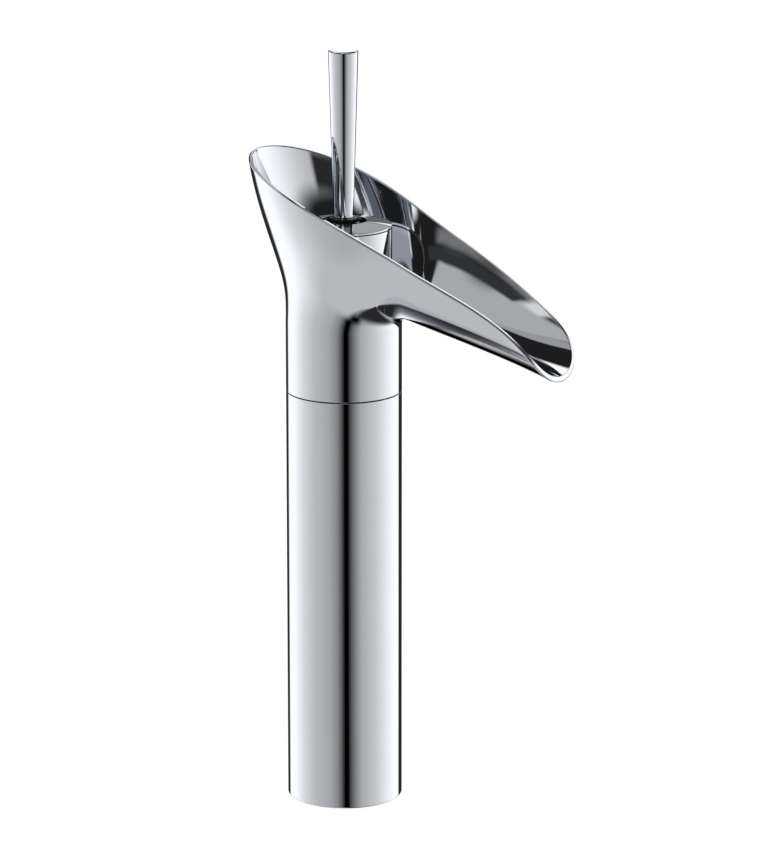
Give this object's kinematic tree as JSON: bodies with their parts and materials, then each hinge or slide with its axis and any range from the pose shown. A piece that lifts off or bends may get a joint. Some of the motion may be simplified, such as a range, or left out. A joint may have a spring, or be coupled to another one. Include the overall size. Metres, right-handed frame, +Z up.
{
  "type": "tall basin mixer",
  "caption": "Tall chrome basin mixer: round column flaring like a calla lily into an open trough spout, with a round valve tower and an upright tapered lever in the bowl.",
  "frame": {"origin": "centre of the column's foot, on the deck that it stands on", "axes": "+Z up along the column, +X the way the spout points, +Y to the left of someone looking along the spout"},
  "size_m": [0.1447, 0.081, 0.3436],
  "materials": {
    "polished_chrome": "mirror-polished plating on cast and drawn brass",
    "turned_brass": "plain turned",
    "copper_tube": "drawn tube",
    "black_rubber": "moulded",
    "black_ball": "moulded, semi-gloss",
    "cartridge_moulding": "moulded",
    "disc_ceramic": "lapped",
    "steel_pin": "ground"
  },
  "bodies": {
    "faucet": {"spout_body": "polished_chrome", "column_sleeve": "polished_chrome", "valve_housing": "polished_chrome", "dome_cap": "polished_chrome", "base_block": "turned_brass", "joining_nipple": "turned_brass", "housing_lock_ring": "turned_brass", "cartridge_nut": "turned_brass", "hot_riser": "copper_tube", "cold_riser": "copper_tube", "joint_gasket": "black_rubber", "base_gasket": "black_rubber", "riser_o_rings": "black_rubber", "housing_o_ring": "black_rubber", "port_seals": "black_rubber", "cap_ring": "black_rubber", "cartridge_shell": "cartridge_moulding", "cartridge_base": "cartridge_moulding", "fixed_disc": "disc_ceramic"},
    "rotor": {"lever_rotor": "cartridge_moulding", "pivot_pin": "steel_pin"},
    "lever": {"lever_rod": "polished_chrome", "lever_spindle": "steel_pin", "lever_ball": "black_ball", "lever_set_screw": "steel_pin"},
    "disc": {"moving_disc": "disc_ceramic", "disc_carrier": "cartridge_moulding"}
  },
  "joints": [
    {"name": "temperature_turn", "type": "hinge", "parent": "faucet", "child": "rotor", "pos_m": [0, 0, 0.256], "axis": [0, 0, 1], "range_deg": [-45, 45]},
    {"name": "flow_tilt", "type": "hinge", "parent": "rotor", "child": "lever", "pos_m": [0, 0, 0.256], "axis": [0, 1, 0], "range_deg": [0, 18]},
    {"name": "disc_slide", "type": "slide", "parent": "rotor", "child": "disc", "axis": [-1, 0, 0], "range_m": [0, 0.0043]}
  ],
  "couplings": [
    {"joint": "disc_slide", "follows": "flow_tilt", "m_per_rad": 0.0132}
  ]
}
